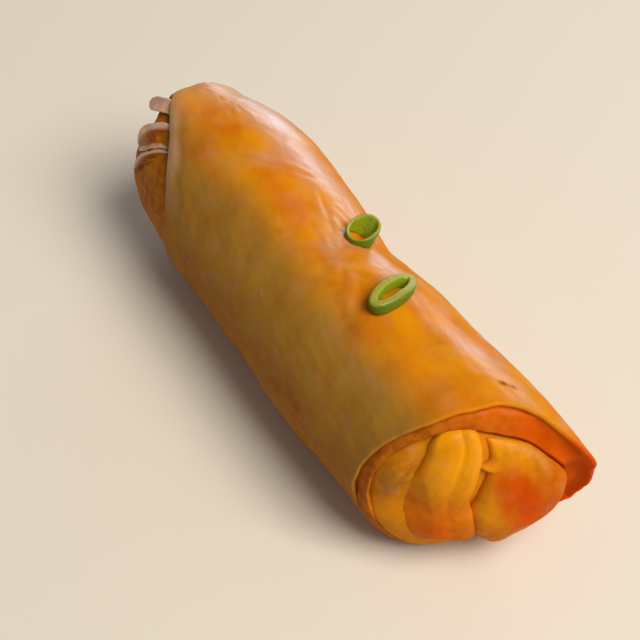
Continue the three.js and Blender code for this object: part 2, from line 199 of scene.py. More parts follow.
# Soft patches of colour on the last turn: station, angle, spread along, spread round, tone.
PAINTED_SHEEN = [  # painted sheen on the upper side, out to the far lip, and one small painted glint beside an onion slice; these places are also glossier
    (-54, -29, 14, 13, 0.8), (-72, -20, 8, 20, 0.4), (-30, -30, 12, 12, 0.4), (-41, -5, 3.5, 11, 0.25),
    (-16, -13, 6, 6, 0.3), (-10, -5, 5, 9, 0.32), (-2, 2, 5, 5, 0.2), (3, -21, 5, 7, 0.4),
    (19, -21, 9, 7, 0.16), (36, -28, 9, 8, 0.32), (-19, -38, 8, 10, 0.2), (-12, -18, 1.3, 2.4, 0.35),
]
RED = [
    (6.8, 9.5, 7, 5, 0.3), (-30, 3, 9, 7, 0.22), (-60, 3, 8, 8, 0.2), (49, -3, 5, 18, 0.22),
    (-52, 27, 6, 6, 0.25),
]
YELLOW = [
    (24, -4, 15, 9, 0.7), (-25, 17, 8, 6, 0.45), (-47, 10, 8, 6, 0.3), (47, -24, 8, 8, 0.4),
    (-4, 14, 5, 5, 0.4),
]
TOASTED = [(15.5, 22, 5, 4, 0.3), (-5, 8, 3, 3, 0.2), (-62, 30, 7, 4, 0.2), (2, -34, 8, 8, 0.25)]
CRUMPLE_TONES = [(-8, -8, 15, 20, 1.0)]
FAR_FILM = [(1.5, 34, 4.5, 30, 1.0)]  # the first number is the distance from the far lip
HOOD_REDNESS = 6  # distance from the near lip over which the red of its hood fades
# A burnt crumb, given as creases are.
CRUMB = [([(45.9, -24.8), (46.3, -26.2)], 0.95, 0.65), ([(47.4, -29.4), (47.6, -30.2)], 0.85, 0.5)]
# Soft spots of colour on an end face: y, z, spread in y, spread in z, tone.
# The first table holds painted highlights: lighter spots where light catches the pouch.
POUCH_HIGHLIGHTS = [(-12.8, 14.8, 1.1, 1.1, 0.08), (-18, 4.2, 1.3, 1.3, 0.056)]
TONGUE_YELLOW = [(-4, 12, 5, 10, 0.4)]
TONGUE_RED = [(-11, -6, 4.5, 4, 0.4)]
LOBE_RED = [(4.6, 6.8, 4.2, 4.6, 0.9), (5.2, 0.5, 3.4, 5, 0.7), (8.5, 1, 4.5, 6, 0.6)]
# The lighter spot on the lobe's tab is a painted highlight.
LOBE_TAB_HIGHLIGHT = [(-0.4, 10.6, 1.6, 1.4, 1.0)]

# ---- tucked corners, loose dough and onion ---------------------------------------------------------

# Tucked corners: left and right edges as (y, z) from the top down, height over the end face at the top and
# at the bottom, what the middle adds, the width over which each border rises (left, right, top, bottom; a
# pair is from the top down), and ridges along the sheet: place across, start and end down, height and spread.
# A tab on the left edge is given as its z, how far it stands out and its spread.
FOLDS = {
    "near_tongue": {
        "end": NEAR_END,
        "left": [(-6.6, 20.5), (-9.2, 15.5), (-11.8, 10.2), (-14.4, 4.5), (-17, -3), (-17, -11)],
        "right": [(0.2, 20.4), (0.2, 14.4), (-1.9, 8), (-3.3, 1), (-0.8, -8), (2.6, -17.8)],
        "height": (1.3, 2.2), "crown": 1.1, "hems": ((0.9, 7), (0.9, 2.6), (0.9, 0.9), (5, 5)),
        "ridges": [(0.78, -0.1, 2, 0.4, 0.14), (0.56, -0.1, 1.0, -0.25, 0.06), (0.2, 0, 0.8, 0.3, 0.2)],
    },
    "near_lobe": {
        "end": NEAR_END,
        "left": [(1.7, 16.2), (1.5, 12.5), (-0.4, 7.5), (-2.2, 2.6), (-3.9, -4), (0.2, -17.5)],
        "right": [(12.4, 12.6), (15.6, 8), (17, 2.3), (16.6, -4), (14.4, -10.5), (9.5, -16.4)],
        "height": (0.8, 2.9), "crown": 3.4, "hems": ((1.0, 1.6), (2.5, 4), (0.9, 0.9), (3.5, 3.5)),
        "ridges": [(0.2, 0.45, 2, 0.4, 0.08), (0.28, 0.55, 2, 1.7, 0.22), (0.5, -1, 0.26, 0.5, 0.35)],
        "tab": (10.6, 2.0, 0.8),
    },
    "far_inner": {
        "end": FAR_END,
        "left": [(-11, 11.5), (-15, 5), (-15.5, -3), (-12, -11), (-6, -15.5)],
        "right": [(0, 16.4), (0, 8), (-1, 0), (-1, -8), (0, -16)],
        "height": (0.8, 1), "crown": 0.8, "hems": ((4, 4), (1, 1), (4, 4), (4, 4)),
        "ridges": [(0.3, 0, 1, 0.4, 0.12), (0.6, 0, 1, 0.3, 0.1)],
    },
    "far_outer": {
        "end": FAR_END,
        "left": [(3, 16), (-1.5, 9), (-4, 0), (-3.5, -8), (0, -16)],
        "right": [(11.5, 12), (15.5, 6), (16.5, -1), (14.5, -9), (9, -14.8)],
        "height": (1.7, 1.7), "crown": 0.6, "hems": ((1, 1), (4, 4), (4, 4), (4, 4)),
        "ridges": [(0.14, 0, 1, 0.5, 0.08), (0.45, 0, 1, 0.35, 0.1), (0.7, 0, 1, -0.3, 0.08)],
    },
}
FOLD_GRID = (64, 96)
NO_TAB = (0, 0, 1)
TAB_ROOT = 0.1  # share of the sheet's width over which a tab fades
DRAWN_IN = -0.4  # height of a fold's borders, under the end face
RIM_EASE = 0.94  # a fold eases into the rim of its end face from this share of the way
ROUND_HEM = 0.9  # a border that rises over this width is a round edge
SLOPING_HEM = 3  # one that is wider by this much is a gentle slope
HEM_CHANGE = (0.38, 0.5)  # place down the sheet where a border's upper width gives way to its lower one
RIDGE_END = 0.2  # share of the sheet's length over which a ridge sets in and ends
RIDGE_WANDER = [(0.015, 1, 63)]
FOLD_CREASES = [(0.2, 3.2, 61), (0.06, 1.2, 64)]
FOLD_GRAIN = [(0.05, 1.6, 62)]
CREASE_STRETCH = 0.2  # creases of a fold run down it, so its length counts for less

# Loose film and dough at the far lip: its upper and lower rim as (station, angle, radius) from root to tip,
# how far the sheet between them curls inwards at the root and at the tip, in degrees, and its thickness. Then
# the tone of dry film on its rims and of the hollow between them, at root and tip: the paler rims are partly
# painted highlight, and the darker hollow is painted shade. Then how much of the crumb's dark colour is
# painted into that hollow as shade, and whether the film leaves the lower rim bare.
FLAKES = {
    "far_flake_top": dict(
        upper=[(-71.5, 15.5, 21.2), (-75.5, 22, 22.6), (-79.2, 30, 21.6)],
        lower=[(-69, 22, 21.0), (-73.5, 28, 21.6), (-77.6, 34, 21.0)],
        curl=(80, 150), thickness=0.4, film=1.0, hollow=(0.9, 0.9), burnt=0.0, bare=False,
    ),
    "far_flake_middle": dict(
        upper=[(-66.5, 27.5, 21.0), (-71.4, 38.5, 22.7), (-74.8, 56, 21.0)],
        lower=[(-62.5, 39, 20.8), (-67.4, 49, 21.7), (-72.8, 64, 20.2)],
        curl=(80, 125), thickness=0.6, film=0.92, hollow=(0.05, 0.4), burnt=0.5, bare=False,
    ),
    "far_flake_low": dict(
        upper=[(-61.5, 41, 21.0), (-67.4, 53, 21.8), (-72.2, 72.5, 20.9)],
        lower=[(-60.5, 45.5, 20.5), (-66, 59.5, 21.0), (-70.6, 79, 20.0)],
        curl=(60, 60), thickness=0.7, film=0.92, hollow=(0.05, 0.4), burnt=0.5, bare=True,
    ),
}
FLAKE_GRID = (28, 56)
FLAKE_WIDTH_NOISE = [(0.1, 1, 81)]  # share of the width, size, seed
FLAKE_NOISE = [(0.12, 2.5, 82)]
ROUND_TIP = (0.66, 0.36, 0.94)  # where a flake's tip starts to close, over what share, and how far at most

# Slices of green onion: where each lies, the heading of its long side from the roll's axis, its length,
# width, height and wall, then how much taller one side is than the other and the heading of the taller side.
ONION_SLICES = {
    "scallion_ring_1": dict(
        station=13.4, angle=-7.6, heading=110, long_side=13.4, short_side=6.9, tall=3.4, wall=2.1,
        slant=0.0, taller=0,
    ),
    "scallion_ring_2": dict(
        station=-8.6, angle=-22.4, heading=40, long_side=7.4, short_side=6.8, tall=3.7, wall=0.9,
        slant=0.7, taller=105,
    ),
}
ONION_GRID = (120, 32)  # points round a slice and round its wall
ONION_FOOT = 0.2  # height of a slice's foot over the roll
WALL_CORNERS = (0.55, 0.45)  # powers that square a round wall, across and up
CUT_GROOVE = (0.14, -0.1, 0.16)  # groove in the cut faces: depth, place across the wall, spread
LEAF_NOISE = [(0.16, 1.6, 91)]
CUT_NOISE = [(0.1, 2.4, 92)]

# ---- materials, with sizes of their features in metres ---------------------------------------------

DOUGH_MOTTLE, DOUGH_SPECKLE, DOUGH_PORES, DOUGH_FINE_PORES = 0.011, 0.0022, 0.0016, 0.0005
DOUGH_PORE_DEPTH = 0.00025
ONION_FIBRE = 0.0007
ONION_FIBRE_DEPTH = 0.0002
FLOOR_CLOUD = 0.4
FLOOR_CLOUD_TINT = (0.6, 0.6, 0.6)

# ---- the stage, in metres --------------------------------------------------------------------------

CAMERA_AT = (0.2334, -0.14415, 0.3226)
LOOK_AT = (-0.0005, -0.0035, 0.0215)
SENSOR_WIDTH = 36
FLOOR_WIDTH = 6
LIT_POINT = (0, 0, 0.02)
LIGHTS = {
    "key": dict(direction=(0.56, 0.22, 0.80), distance=1.5, size=(0.92, 0.92), tint=(1.0, 0.91, 0.78)),
    "window": dict(direction=(-0.60, 0.79, 0.13), distance=0.85, size=(0.6, 0.2), tint=(0.80, 0.88, 1.0)),
}
SKY_TINT = (1.0, 0.95, 0.88, 1)

# ---- settings --------------------------------------------------------------------------------------


def length(name, text, default):
    """A size in metres that shows in the scene's own unit."""
    return FloatProperty(
        name=name, description=text, default=default, min=0.0, unit="LENGTH", subtype="DISTANCE"
    )


def colour(name, text, default):
    """A colour without alpha."""
    return FloatVectorProperty(
        name=name, description=text, default=default, size=3, min=0.0, max=1.0, subtype="COLOR"
    )


class RollSizes(bpy.types.PropertyGroup):
    """Sizes of the wound dough."""

    radius: length("Radius", "Radius of the last turn", 0.0229)
    layer: length("Layer", "Thickness of one turn of fried dough", 0.001)
    resting_cut: length("Resting flat", "How much of the round is flat where the roll rests", 0.0013)
    lumps: length("Lumps", "Height of the lumps that the filling presses into the wrapper", 0.00042)
    wrinkles: length("Wrinkles", "Height of the wrinkles where the wrapper is pinched", 0.00024)
    blisters: length("Blisters", "Height of the largest blister", 0.0002)
    blister_count: IntProperty(
        name="Blister count", description="Blisters on the whole roll", default=240, min=0
    )
    lip_wear: length("Lip wear", "How far the lips' edges waver", 0.00055)


class DoughColours(bpy.types.PropertyGroup):
    """Colours of the fried dough."""

    golden: colour("Golden", "Evenly fried dough", (0.68, 0.25, 0.004))
    deep: colour("Deep orange", "Oilier and darker dough", (0.62, 0.185, 0.002))
    # This colour is real browning. It is also painted shade on the lower side, in crease furrows, in the gap
    # behind the far lip, on under-turns, low on the tucked corners and in the hollows of loose dough.
    toast_and_shade: colour("Toasted", "Browned dough at edges and ends", (0.30, 0.088, 0.004))
    red: colour("Red orange", "Thin dough that the sauce shows through", (0.60, 0.075, 0.001))
    # This brown is partly the far lip's dry film and the pouch, and mostly painted shade on the side that
    # faces away from the key light.
    dull_and_shade: colour("Dull brown", "Thick dough on the shaded side", (0.35, 0.185, 0.026))
    # This colour is dry film. It is also painted sheen and highlights on the upper side, on crease ridges, on
    # the pouch and on the rims of loose dough.
    film_and_sheen: colour("Pale", "Dry film where the wrapper is stretched", (0.56, 0.355, 0.265))
    yellow: colour("Yellow", "Thin tucked dough", (0.75, 0.30, 0.003))
    crumb: colour("Crumb", "A burnt crumb", (0.13, 0.022, 0.003))


class OnionColours(bpy.types.PropertyGroup):
    """Colours of the green onion."""

    skin: colour("Skin", "Outside of the leaf", (0.105, 0.185, 0.006))
    flesh: colour("Flesh", "Cut face of the leaf", (0.36, 0.32, 0.04))
    inside: colour("Inside", "Inside wall of the leaf", (0.27, 0.37, 0.012))


class StudioSettings(bpy.types.PropertyGroup):
    """Floor, light and lens."""

    floor: colour("Floor", "Colour of the floor", (0.74, 0.70, 0.64))
    sky: FloatProperty(name="Sky", description="Strength of the light from all round", default=0.2, min=0.0)
    key: FloatProperty(
        name="Key", description="Power of the main light", default=27.3, min=0.0, unit="POWER"
    )
    window: FloatProperty(
        name="Window", description="Power of the low cool light behind", default=2.2, min=0.0, unit="POWER"
    )
    lens: FloatProperty(name="Lens", description="Focal length", default=96.0, min=1.0, unit="CAMERA")


# ---- sums ------------------------------------------------------------------------------------------


def mix(a, b, t):
    """From a to b by a share."""
    return a + (b - a) * t


def bell(d):
    """A soft hump: 1 at 0, and nearly nothing at 2."""
    return np.exp(-np.square(d))


def hump(value, middle, spread):
    """A soft hump round a middle."""
    return bell((value - middle) / spread)


def ease(t):
    """From 0 to 1 with a gentle start and end."""
    c = np.clip(t, 0.0, 1.0)
    return c * c * (3 - 2 * c)


def ramp(value, start, over):
    """Eases from 0 at a start to 1 further on by a width. A width below zero leads down."""
    return ease((value - start) / over)


def apart(a, b):
    """Difference of two angles in degrees, from -180 to 180."""
    return np.mod(a - b + TURN / 2, TURN) - TURN / 2


def from_top(angle):
    """Angle from the top, from -180 to 180."""
    return apart(angle, 0)


def patches(station, angle, table):
    """Adds up soft patches on the round: station, angle, spread along, spread round, strength."""
    total = 0.0
    for s, a, along, round_, strength in table:
        total = total + strength * hump(station, s, along) * bell(apart(angle, a) / round_)
    return total


def spots(y, z, table):
    """Adds up soft spots on an end face: y, z, spread in y, spread in z, strength."""
    return sum(strength * hump(y, a, wide) * hump(z, b, tall) for a, b, wide, tall, strength in table)


def read_round(pairs, angle):
    """A smooth closed curve through (angle, value) pairs, in rising order of angle, read at any angles."""
    places, values = np.array(pairs, float).T
    n = len(pairs)
    after = np.append(places[1:], places[0] + TURN)
    before = np.append(places[-1] - TURN, places[:-1])
    slopes = (np.roll(values, -1) - np.roll(values, 1)) / (after - before)
    at = np.mod(angle - places[0], TURN) + places[0]
    i = np.searchsorted(places, at, side="right") - 1
    j = (i + 1) % n
    span = after[i] - places[i]
    t = (at - places[i]) / span
    s = 1 - t
    return (
        s * s * (1 + 2 * t) * values[i] + t * t * (1 + 2 * s) * values[j]
        + span * s * t * (s * slopes[i] - t * slopes[j])
    )


def read_edge(points, t):
    """A smooth line through (y, z) points, read at shares of its length."""
    points = np.array(points, float)
    last = len(points) - 1
    at = np.clip(t, 0, 1) * last
    i = np.minimum(at.astype(int), last)
    w = (at - i)[:, None]
    p0, p1 = points[np.maximum(i - 1, 0)], points[i]
    p2, p3 = points[np.minimum(i + 1, last)], points[np.minimum(i + 2, last)]
    v0, v1 = (p2 - p0) / 2, (p3 - p1) / 2
    return (2 * p1 - 2 * p2 + v0 + v1) * w**3 + (-3 * p1 + 3 * p2 - 2 * v0 - v1) * w**2 + v0 * w + p1


def noise(points, size, seed):
    """Smooth noise from about -1 to 1 at points in space, with features of a size."""
    draw = np.random.default_rng(seed)
    order = draw.permutation(256)
    slopes = draw.normal(size=(256, 3))
    slopes /= np.linalg.norm(slopes, axis=1)[:, None]
    p = np.asarray(points, float) / size
    cell = np.floor(p).astype(int)
    f = p - cell
    u = f * f * f * (f * (f * 6 - 15) + 10)
    total = np.zeros(len(p))
    for corner in np.ndindex(2, 2, 2):
        key = np.zeros(len(p), int)
        for way in range(3):
            key = order[(key + cell[:, way] + corner[way]) & 255]
        offset = f - corner
        share = np.abs(1 - np.array(corner) - u).prod(1)
        total += share * (slopes[key] * offset).sum(1)
    return total * 1.6


def layered(points, table):
    """Adds up noise of several sizes: strength, size, seed."""
    return sum(strength * noise(points, size, seed) for strength, size, seed in table)


def choose(base, cases):
    """Takes the value of the first case whose test holds, and the base where none does."""
    return np.select([test for test, _ in cases], [value for _, value in cases], base)


# ---- form of the roll ------------------------------------------------------------------------------


class Roll:
    """The roll's form in millimetres, from the scene's sizes."""

    def __init__(self, sizes):
        self.radius = sizes.radius / MM
        self.layer = sizes.layer / MM
        self.cut = sizes.resting_cut / MM
        self.lumps = sizes.lumps / MM
        self.wrinkles = sizes.wrinkles / MM
        self.blisters = sizes.blisters / MM
        self.blister_count = sizes.blister_count
        self.wear = sizes.lip_wear / MM

    def last_turn(self, station, angle):
        """Radius of the last turn. It is a layer lower behind its long edge and rises again round it."""
        seam_angle, slant, fade = SEAM
        past = apart(seam_angle + slant * station, angle)
        step = np.where(past > 0, self.layer * (1 - ease(past / fade)), 0)
        return self.radius - step + patches(station, angle, LUMPS)

    def point(self, station, r, angle):
        """The point at a station, a distance from the axis and an angle. Underneath, the round is flat."""
        turn = np.radians(angle)
        down = -np.cos(turn)
        pressed = r * np.minimum(1, (self.radius - self.cut) / (self.radius * np.maximum(down, TINY)))
        z = np.maximum(-pressed * down, self.cut - self.radius)
        return np.stack(np.broadcast_arrays(station, -pressed * np.sin(turn), z), -1)

    def arc(self, angle):
        """Distance from the top, measured round the roll."""
        return from_top(angle) * DEGREE * self.radius

    def lip(self, end, angle):
        """Station of a lip, with the small waves of a fried edge."""
        turn = np.radians(angle)
        radius, beside = WAVER_RING
        places = np.cos(turn) * radius, np.sin(turn) * radius, np.full_like(turn, beside * end["side"])
        ring = np.stack(places, -1)
        return read_round(end["lip"], angle) + self.wear * layered(ring, LIP_WAVER)

    def openness(self, end, angle):
        """Share of the gap behind a lip that is open. Low on the -Y side the near lip is pressed shut."""
        if end["side"] < 0:
            return np.ones_like(angle)
        low = from_top(angle)
        return 1 - PRESSED * ramp(low, *PRESSED_FROM) * ramp(low, *PRESSED_TO)

    def end_rings(self, end):
        """The rings of one end from the lip inwards: what each belongs to, and its points."""
        side, angle = end["side"], ANGLES
        under_rings, face_rings = end["rings"]
        free = self.openness(end, angle)
        layer = self.layer * free
        lip = self.lip(end, angle)
        gap = lip - side * read_round(end["gap"], angle)
        edge = lip + side * read_round(end["reach"], angle)
        inset = read_round(end["inset"], angle)
        top = self.last_turn(lip, angle)
        lines = [("lip", lip + side * forward, top - layer * down) for forward, down in LIP_STEPS]
        lines += [("gap", mix(lip, gap, share), top - layer * down) for share, down in GAP_STEPS]
        for i in range(1, under_rings + 1):
            turn = i / under_rings * math.pi / 2
            down = mix(layer * UNDER_TURN_DEPTH, inset, 1 - math.cos(turn))
            lines.append(("under", mix(gap, edge, math.sin(turn)), top - down))
        for back, down in EDGE_STEPS:
            lines.append(("edge", edge - side * back * free, top - inset - self.layer * down * free))
        rings = [(kind, self.point(station, r, angle)) for kind, station, r in lines]
        for i in range(face_rings + 1):
            share = math.cos(i / (face_rings + 1) * math.pi / 2)
            rings.append(("face", self.face_point(end, angle, share, 0)))
        return rings

    def face_rim(self, end, angle):
        """Station and distance from the axis of an end face's rim."""
        lip = read_round(end["lip"], angle)
        free = self.openness(end, angle)
        station = lip + end["side"] * (read_round(end["reach"], angle) - FACE_BACK * free)
        under = self.last_turn(lip, angle) - read_round(end["inset"], angle)
        return station, under - self.layer * UNDER_TURN_DEPTH * free

    def face_point(self, end, angle, share, height):
        """A point of an end face: an angle, a share of the way from middle to rim, and a height over it."""
        rim_station, rim_r = self.face_rim(end, angle)
        dome = np.sqrt(np.maximum(0, 1 - np.square(share)))
        forward = np.maximum(dome, STEEPEST_DOME) / end["bulge"]
        outward = share / rim_r
        lean = height / np.hypot(forward, outward)
        station = mix(end["middle"], rim_station, share)
        station = station + end["side"] * (end["bulge"] * dome + forward * lean)
        return self.point(station, share * rim_r + outward * lean, angle)


# ---- mesh work -------------------------------------------------------------------------------------


def deselect():
    """Leaves nothing selected, in object mode."""
    if bpy.context.object and bpy.context.object.mode != "OBJECT":
        bpy.ops.object.mode_set(mode="OBJECT")
    bpy.ops.object.select_all(action="DESELECT")


def name_it(name):
    """Names the new object and its mesh, and returns it."""
    obj = bpy.context.object
    obj.name = name
    obj.data.name = name
    return obj


def read_vectors(source, key):
    """Reads one vector for each point of a mesh."""
    values = np.empty(len(source) * 3)
    source.foreach_get(key, values)
    return values.reshape(-1, 3)


def coordinates(obj):
    """Where each point of a piece is, in metres."""
    return read_vectors(obj.data.vertices, "co")


def normals(obj):
    """Which way each point of a piece faces."""
    return read_vectors(obj.data.vertex_normals, "vector")


def axis_to_part():
    """The way from the roll's axis to the part's frame, in millimetres."""
    sizes = bpy.context.scene.roll_sizes
    return np.array((-MIDDLE[0], -MIDDLE[1], (sizes.radius - sizes.resting_cut) / MM))


def move_points(obj, points):
    """Puts every point of a piece at its place, given in millimetres on the roll's axis."""
    placed = (np.asarray(points) + axis_to_part()) * MM
    obj.data.vertices.foreach_set("co", placed.ravel())
    obj.data.update()


def placed_points(obj):
    """A piece's points in millimetres on the roll's axis."""
    return coordinates(obj) / MM - axis_to_part()


def new_grid(name, across, along):
    """A flat grid from -1 to 1 both ways, and the two places of each of its points."""
    deselect()
    bpy.ops.mesh.primitive_grid_add(x_subdivisions=across, y_subdivisions=along, size=2)
    obj = name_it(name)
    co = coordinates(obj)
    return obj, co[:, 0], co[:, 1]


def select_edges(obj, test):
    """In edit mode, selects the edges whose two ends pass a test."""
    bpy.ops.mesh.select_mode(type="EDGE")
    bpy.ops.mesh.select_all(action="DESELECT")
    mesh = bmesh.from_edit_mesh(obj.data)
    for edge in mesh.edges:
        edge.select = test(edge.verts[0].co, edge.verts[1].co)
    bmesh.update_edit_mesh(obj.data)


def closed_tube(name, round_, first_cuts, second_cuts):
    """A tube closed by a fan at both ends and cut into rings in two goes.

    Returns it with each point's ring, its place round the ring, and whether it is the middle of a fan.
    """
    deselect()
    bpy.ops.mesh.primitive_cylinder_add(vertices=round_, radius=1, depth=2, end_fill_type="TRIFAN")
    obj = name_it(name)
    bpy.ops.object.mode_set(mode="EDIT")
    for cuts in (first_cuts, second_cuts):
        select_edges(obj, lambda a, b: abs(a.z - b.z) > TINY)
        bpy.ops.mesh.subdivide(number_cuts=cuts)
    bpy.ops.object.mode_set(mode="OBJECT")
    x, y, z = coordinates(obj).T
    rows = (first_cuts + 1) * (second_cuts + 1)
    ring = np.rint((z + 1) / 2 * rows).astype(int)
    place = np.mod(np.rint(np.degrees(np.arctan2(y, x)) / TURN * round_), round_).astype(int)
    return obj, ring, place, np.hypot(x, y) < TINY


def thicken(obj, thickness):
    """Gives a sheet a wall inwards, in millimetres."""
    wall = obj.modifiers.new("wall", "SOLIDIFY")
    wall.thickness = thickness * MM
    wall.offset = -1
    bpy.ops.object.modifier_apply(modifier=wall.name)


def paint(obj, name, *tones):
    """Stores up to three tones for each point as a colour attribute."""
    layer = obj.data.color_attributes.new(name, "FLOAT_COLOR", "POINT")
    rgba = np.ones((len(obj.data.vertices), 4), np.float32)
    rgba[:, :3] = 0
    for channel, tone in enumerate(tones):
        rgba[:, channel] = np.clip(tone, 0, 1)
    layer.data.foreach_set("color", rgba.ravel())


def paint_dough(obj, toast_and_shade, dull_and_shade, film_and_sheen, red, yellow, crumb):
    """Stores all the tones of fried dough."""
    paint(obj, "tone", toast_and_shade, dull_and_shade, film_and_sheen)
    paint(obj, "stain", red, yellow, crumb)


def finish_piece(obj, material, node):
    """Smooth shading, the material, and the piece's place in the part."""
    deselect()
    obj.select_set(True)
    bpy.context.view_layer.objects.active = obj
    bpy.ops.object.shade_smooth()
    obj.data.materials.clear()
    obj.data.materials.append(material)
    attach(obj, "root")
    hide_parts(node)


# ---- relief of the wrapper, in millimetres ---------------------------------------------------------


def strokes(roll, station, angle, table):
    """Adds up ridges and furrows that follow bent lines: places as (station, angle), strength, spread."""
    x, y = station, roll.arc(angle)
    total = np.zeros(len(x))
    for places, strength, spread in table:
        line = np.array(places, float) * (1, DEGREE * roll.radius)
        away = np.full(len(x), np.inf)
        for a, b in zip(line[:-1], line[1:]):
            d = b - a
            t = np.clip(((x - a[0]) * d[0] + (y - a[1]) * d[1]) / (d @ d), 0, 1)
            away = np.minimum(away, np.hypot(x - a[0] - t * d[0], y - a[1] - t * d[1]))
        total += strength * bell(away / spread)
    return total


def crease_lines(roll, points, station, angle):
    """The creases, bent a little and made uneven by noise."""
    bent_station = station + layered(points, CREASE_WANDER_ALONG)
    bent_angle = angle + layered(points, CREASE_WANDER_ROUND)
    lines = strokes(roll, bent_station, bent_angle, CREASES)
    return lines * (0.75 + layered(points, CREASE_STRENGTH))


def lumpy_filling(roll, points):
    """Lumps of filling that show through the wrapper."""
    broad = noise(points * LUMP_STRETCH, 13, seed=1)
    return roll.lumps * (broad + layered(points, LUMP_NOISE))


def pinched_wrinkles(roll, points, station, angle, s, a, reach, count, seed):
    """Wrinkles that run out from a pinched place and fade with distance."""
    along = station - s
    across = apart(angle, a) * DEGREE * roll.radius
    away = np.hypot(along, across)
    heading = np.arctan2(across, along) + 0.22 * noise(points, 7, 20 + seed)
    ridge = 1 - np.abs(np.sin(heading * count / 2 + 0.6 * noise(points, 9, 40 + seed)))
    return roll.wrinkles * ridge * hump(away, reach * PINCH_PEAK, reach * PINCH_SPREAD)


def slanting_grain(roll, points, station, angle):
    """Fine lines that run at a slant along the roll, stronger in some places than in others."""
    arc = roll.arc(angle)
    along, across = station * GRAIN_LONG + arc * GRAIN_TURN, arc - GRAIN_SLANT * station
    slanted = np.stack([along, across, np.zeros_like(arc)], 1)
    return roll.wrinkles * layered(slanted, GRAIN) * (0.6 + layered(points, GRAIN_STRENGTH))


def lip_waves(roll, station, angle):
    """Waves of the wrapper along the far lip, and its swelling along the near one."""
    from_far_lip = station - roll.lip(FAR_END, angle)
    from_near_lip = roll.lip(NEAR_END, angle) - station
    return patches(from_far_lip, angle, FAR_LIP_WAVES) + patches(from_near_lip, angle, NEAR_LIP_WAVES)


def blisters(roll, points):
    """Small round blisters all over the roll."""
    total = np.zeros(len(points))
    draw = np.random.default_rng(7)
    for _ in range(roll.blister_count):
        station, angle = np.array(draw.uniform(*BLISTER_STATIONS)), np.array(draw.uniform(0, TURN))
        size, height = draw.uniform(*BLISTER_SIZES), draw.uniform(*BLISTER_HEIGHTS) ** 2
        centre = roll.point(station, roll.last_turn(station, angle), angle)
        away = np.minimum(np.linalg.norm(points - centre, axis=1) / size, 1)
        total += roll.blisters * height * np.square(1 - np.square(away))
    return total


def wrapper_relief(roll, points, station, angle):
    """How far the last turn stands out."""
    relief = lumpy_filling(roll, points)
    relief += CREASE_DEPTH * crease_lines(roll, points, station, angle)
    relief += patches(station, angle, CRUMPLES) * layered(points, CRUMPLE_NOISE)
    for *pinch, share in PINCHES:
        relief += share * pinched_wrinkles(roll, points, station, angle, *pinch)
    relief += slanting_grain(roll, points, station, angle)
    return relief + lip_waves(roll, station, angle) + blisters(roll, points)


def pouch_share(y, z):
    """Share of the swelling of thin dough that lies on the near face, left of the tucked corner."""
    around, out = np.degrees(np.arctan2(-y, z)), np.hypot(y, z)
    top_y, top_z, slope = POUCH_BORDER
    beside_fold = ramp(y, top_y - slope * (top_z - z), POUCH_SETS_IN)
    return hump(around, *POUCH_ANGLE) * hump(out, *POUCH_OUT) * beside_fold


def end_relief(points, kind, station, angle):
    """How far the under-turns and the end faces stand out."""
    under_hood = (station > 0) & (np.abs(apart(angle, CALM_MIDDLE)) < CALM_HALF)
    calm = choose(1.0, [(kind == "gap", 0.15), (under_hood, 0.35)])
    relief = layered(points, END_RELIEF) * calm
    ridges = UNDER_TURN_RIDGES * noise(points * (1, 0.25, 0.25), 1.5, seed=14)
    relief += np.where(kind == "under", ridges * calm, 0)
    near_face = (kind == "face") & (station > 0)
    pouch = POUCH_HEIGHT * pouch_share(points[:, 1], points[:, 2])
    return np.where(near_face, relief * 0.6 + pouch, relief)


# ---- tones of the wrapper --------------------------------------------------------------------------


def last_turn_tones(roll, points, film, station, angle):
    """Tones of the last turn: browning with painted shade, painted shade on the side away from the key light,
    dry film with painted sheen, red and yellow.
    """
    off = from_top(angle)
    wander = off + 6 * noise(points, 16, seed=51)
    ragged = station + 1.2 * noise(points, 7, seed=55), angle + 3 * noise(points, 7, seed=56)
    lines = np.clip(crease_lines(roll, points, station, angle) / CREASE_TONE, -1, 1) * bell(off / 60)
    crumpled = patches(station, angle, CRUMPLE_TONES) * noise(points, 3.2, seed=59)
    # The lower side is browner: fried darker underneath, and painted shade where it faces away from the
    # light. Crease furrows are darker: painted shade.
    toast_and_shade = 0.1 + 0.24 * noise(points, 8, seed=52) + 0.5 * ramp(wander, 55, 35)
    toast_and_shade += patches(*ragged, TOASTED) + 0.25 * np.maximum(-lines, 0)
    # Painted shade on the side that faces away from the key light, fading out towards the underside.
    shaded = ramp(wander, 6, 30) * ramp(off, 150, -60)
    # Painted sheen: patches where the light from behind glances off the upper side, and painted highlights
    # along crease ridges. The crumpled waist gets lighter mottling, and the far lip's dry film adds real
    # film.
    film_and_sheen = patches(*ragged, PAINTED_SHEEN) + 0.1 * noise(points, 5, seed=53) + 0.35 * film
    film_and_sheen += 0.1 * np.maximum(lines, 0) + 0.2 * crumpled
    red = patches(*ragged, RED) + 0.1 * noise(points * (0.4, 1, 1), 4.5, seed=58)
    yellow = 0.2 * noise(points, 12, seed=54) + 0.26 * noise(points * (0.3, 1, 1), 3.4, seed=57)
    yellow += 0.25 * crumpled + patches(*ragged, YELLOW)
    return toast_and_shade, shaded, film_and_sheen * (1 - ramp(off, 55, 25)), red, yellow


